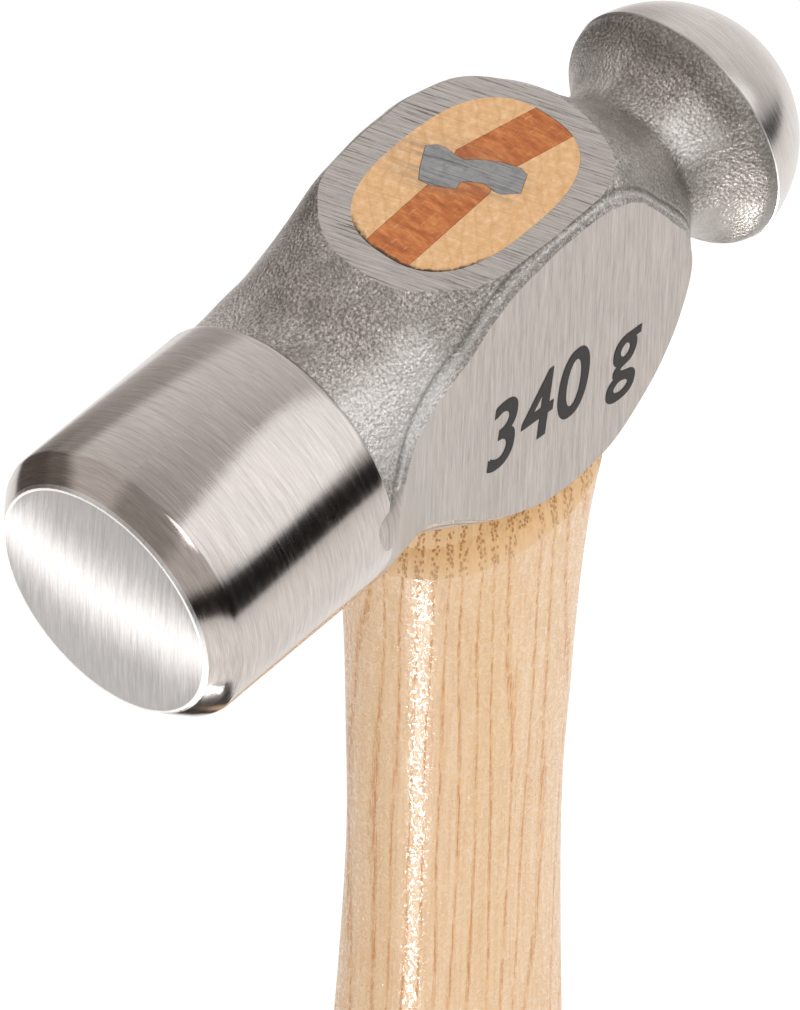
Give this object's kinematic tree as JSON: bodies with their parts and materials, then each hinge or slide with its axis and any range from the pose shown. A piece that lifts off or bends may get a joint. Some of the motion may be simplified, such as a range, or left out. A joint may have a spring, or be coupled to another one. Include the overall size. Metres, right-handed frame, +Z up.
{
  "type": "ball peen hammer",
  "caption": "Ball peen hammer: forged steel head with a round striking face and a ball, on an oval ash handle held by a wooden and a steel wedge.",
  "frame": {"origin": "centre of the flat at the butt end of the handle", "axes": "+Z up the handle to the ground top of the head, -X towards the striking face, +X towards the ball, Y across the cheeks"},
  "size_m": [0.0897, 0.0286, 0.33],
  "materials": {
    "forged_head": "ground and brushed faces, shot-blasted forged parts",
    "ash_handle": "clear lacquered ash, bare at the shoulder and on the end grain",
    "wedge_wood": "reddish-brown hardwood, ground flush",
    "wedge_steel": "mild steel, ground flush"
  },
  "bodies": {
    "root": {"head": "forged_head", "handle": "ash_handle", "wood_wedge": "wedge_wood", "steel_wedge": "wedge_steel"}
  },
  "joints": []
}
